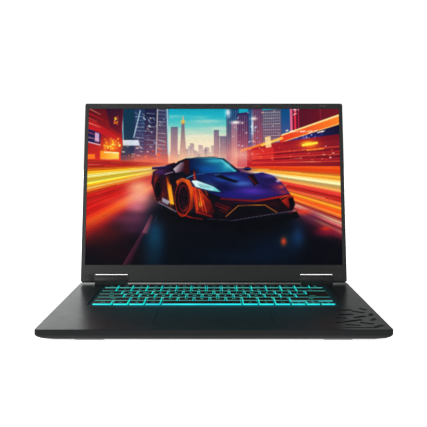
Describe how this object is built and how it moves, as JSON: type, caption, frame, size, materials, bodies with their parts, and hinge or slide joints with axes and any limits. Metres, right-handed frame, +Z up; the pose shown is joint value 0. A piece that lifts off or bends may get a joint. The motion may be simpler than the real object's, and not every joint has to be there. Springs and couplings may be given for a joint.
{
  "type": "laptop computer",
  "caption": "Dark hinged laptop computer with its lid open: thin-bezel wide display, sunk backlit keyboard, flat touchpad and two hooded barrel hinges.",
  "frame": {"origin": "on the desk, under the middle of the whole computer's box with the lid open at its resting angle", "axes": "+X to the user's right along the hinge axis, +Y from the front edge to the back, +Z up"},
  "size_m": [0.361, 0.3052, 0.2567],
  "materials": {
    "deck_plastic": "fine matte grain",
    "base_plastic": "fine matte grain",
    "lid_plastic": "fine matte grain",
    "bezel_plastic": "matte, soft texture",
    "screen_glass_panel": "anti-glare display surface, lit",
    "foam": "soft foam",
    "rubber_pads": "matt rubber",
    "key_plastic": "satin keycaps, lit legends",
    "key_rubber": "translucent silicone",
    "key_frame_plastic": "moulded",
    "light_guide": "lit teal film",
    "touchpad_surface": "etched glass, matt",
    "steel": "plain steel",
    "socket_metal": "plated shell",
    "socket_plastic": "moulded",
    "circuit_board": "solder mask",
    "silicon": "chip package",
    "copper": "copper",
    "fins": "thin sheet",
    "fan_plastic": "moulded",
    "battery_wrap": "wrapped cells",
    "ribbon": "flat cable"
  },
  "bodies": {
    "base": {"battery_pack": "battery_wrap", "bottom_cover": "base_plastic", "case_screws": "steel", "fan_housing_left": "fan_plastic", "fan_housing_right": "fan_plastic", "front_feet": "rubber_pads", "hdmi_socket": "socket_metal", "headset_socket": "socket_plastic", "heat_pipes": "copper", "heatsink_fins": "fins", "hinge_base_brackets": "steel", "hinge_cover_left": "deck_plastic", "hinge_cover_right": "deck_plastic", "key_domes": "key_rubber", "key_scissors": "key_frame_plastic", "keyboard_light_guide": "light_guide", "keyboard_plate": "steel", "mainboard": "circuit_board", "memory_modules": "circuit_board", "power_inlet": "socket_plastic", "processor_chips": "silicon", "rear_foot": "rubber_pads", "rear_grilles": "base_plastic", "solid_state_drive": "circuit_board", "speakers": "key_frame_plastic", "top_case": "deck_plastic", "touchpad_bracket": "steel", "usb_sockets": "socket_metal", "wireless_card": "key_frame_plastic"},
    "lid": {"lid_back_cover": "lid_plastic", "display_bezel": "bezel_plastic", "display_panel": "screen_glass_panel", "display_gasket": "foam", "display_cable": "ribbon", "webcam_module": "socket_plastic", "wireless_antennas": "copper", "lid_bumpers": "rubber_pads", "hinge_lid_brackets": "steel", "hinge_shafts": "steel"},
    "touchpad": {"touchpad": "touchpad_surface"},
    "fan_impeller_left": {"fan_impeller_left": "fan_plastic"},
    "fan_impeller_right": {"fan_impeller_right": "fan_plastic"},
    "power_key": {"power_key": "key_plastic"},
    "backspace_key": {"backspace_key": "key_plastic"},
    "tab_key": {"tab_key": "key_plastic"},
    "enter_key": {"enter_key": "key_plastic"},
    "caps_lock_key": {"caps_lock_key": "key_plastic"},
    "left_shift_key": {"left_shift_key": "key_plastic"},
    "right_shift_key": {"right_shift_key": "key_plastic"},
    "space_bar": {"space_bar": "key_plastic"},
    "left_arrow_key": {"left_arrow_key": "key_plastic"},
    "up_arrow_key": {"up_arrow_key": "key_plastic"},
    "down_arrow_key": {"down_arrow_key": "key_plastic"},
    "right_arrow_key": {"right_arrow_key": "key_plastic"},
    "function_row_keys": {"function_row_keys": "key_plastic"},
    "number_row_keys": {"number_row_keys": "key_plastic"},
    "upper_letter_keys": {"upper_letter_keys": "key_plastic"},
    "home_letter_keys": {"home_letter_keys": "key_plastic"},
    "lower_letter_keys": {"lower_letter_keys": "key_plastic"},
    "modifier_keys": {"modifier_keys": "key_plastic"}
  },
  "joints": [
    {"name": "lid_hinge", "type": "hinge", "parent": "base", "child": "lid", "pos_m": [0, 0.09182, 0.019], "axis": [-1, 0, 0], "range_deg": [-103.45, 76.55]},
    {"name": "touchpad_click", "type": "hinge", "parent": "base", "child": "touchpad", "pos_m": [0, -0.05248, 0.0134], "axis": [1, 0, 0], "range_deg": [0, 0.4], "stiffness_Nm_per_rad": 12, "springref_deg": -0.69},
    {"name": "fan_spin_left", "type": "hinge", "parent": "base", "child": "fan_impeller_left", "pos_m": [-0.125, 0.04942, 0.006], "axis": [0, 0, 1], "continuous": true},
    {"name": "fan_spin_right", "type": "hinge", "parent": "base", "child": "fan_impeller_right", "pos_m": [0.125, 0.04942, 0.006], "axis": [0, 0, 1], "continuous": true},
    {"name": "power_press", "type": "slide", "parent": "base", "child": "power_key", "axis": [0, 0, -1], "range_m": [0, 0.0015], "stiffness_N_per_m": 180, "springref_m": -0.0012},
    {"name": "backspace_press", "type": "slide", "parent": "base", "child": "backspace_key", "axis": [0, 0, -1], "range_m": [0, 0.0015], "stiffness_N_per_m": 180, "springref_m": -0.0012},
    {"name": "tab_press", "type": "slide", "parent": "base", "child": "tab_key", "axis": [0, 0, -1], "range_m": [0, 0.0015], "stiffness_N_per_m": 180, "springref_m": -0.0012},
    {"name": "enter_press", "type": "slide", "parent": "base", "child": "enter_key", "axis": [0, 0, -1], "range_m": [0, 0.0015], "stiffness_N_per_m": 180, "springref_m": -0.0012},
    {"name": "caps_lock_press", "type": "slide", "parent": "base", "child": "caps_lock_key", "axis": [0, 0, -1], "range_m": [0, 0.0015], "stiffness_N_per_m": 180, "springref_m": -0.0012},
    {"name": "left_shift_press", "type": "slide", "parent": "base", "child": "left_shift_key", "axis": [0, 0, -1], "range_m": [0, 0.0015], "stiffness_N_per_m": 180, "springref_m": -0.0012},
    {"name": "right_shift_press", "type": "slide", "parent": "base", "child": "right_shift_key", "axis": [0, 0, -1], "range_m": [0, 0.0015], "stiffness_N_per_m": 180, "springref_m": -0.0012},
    {"name": "space_press", "type": "slide", "parent": "base", "child": "space_bar", "axis": [0, 0, -1], "range_m": [0, 0.0015], "stiffness_N_per_m": 180, "springref_m": -0.0012},
    {"name": "left_arrow_press", "type": "slide", "parent": "base", "child": "left_arrow_key", "axis": [0, 0, -1], "range_m": [0, 0.0015], "stiffness_N_per_m": 180, "springref_m": -0.0012},
    {"name": "up_arrow_press", "type": "slide", "parent": "base", "child": "up_arrow_key", "axis": [0, 0, -1], "range_m": [0, 0.0015], "stiffness_N_per_m": 180, "springref_m": -0.0012},
    {"name": "down_arrow_press", "type": "slide", "parent": "base", "child": "down_arrow_key", "axis": [0, 0, -1], "range_m": [0, 0.0015], "stiffness_N_per_m": 180, "springref_m": -0.0012},
    {"name": "right_arrow_press", "type": "slide", "parent": "base", "child": "right_arrow_key", "axis": [0, 0, -1], "range_m": [0, 0.0015], "stiffness_N_per_m": 180, "springref_m": -0.0012},
    {"name": "function_row_press", "type": "slide", "parent": "base", "child": "function_row_keys", "axis": [0, 0, -1], "range_m": [0, 0.0015], "stiffness_N_per_m": 2520, "springref_m": -0.0012},
    {"name": "number_row_press", "type": "slide", "parent": "base", "child": "number_row_keys", "axis": [0, 0, -1], "range_m": [0, 0.0015], "stiffness_N_per_m": 2340, "springref_m": -0.0012},
    {"name": "upper_letter_press", "type": "slide", "parent": "base", "child": "upper_letter_keys", "axis": [0, 0, -1], "range_m": [0, 0.0015], "stiffness_N_per_m": 2160, "springref_m": -0.0012},
    {"name": "home_letter_press", "type": "slide", "parent": "base", "child": "home_letter_keys", "axis": [0, 0, -1], "range_m": [0, 0.0015], "stiffness_N_per_m": 1980, "springref_m": -0.0012},
    {"name": "lower_letter_press", "type": "slide", "parent": "base", "child": "lower_letter_keys", "axis": [0, 0, -1], "range_m": [0, 0.0015], "stiffness_N_per_m": 1800, "springref_m": -0.0012},
    {"name": "modifier_press", "type": "slide", "parent": "base", "child": "modifier_keys", "axis": [0, 0, -1], "range_m": [0, 0.0015], "stiffness_N_per_m": 1260, "springref_m": -0.0012}
  ]
}
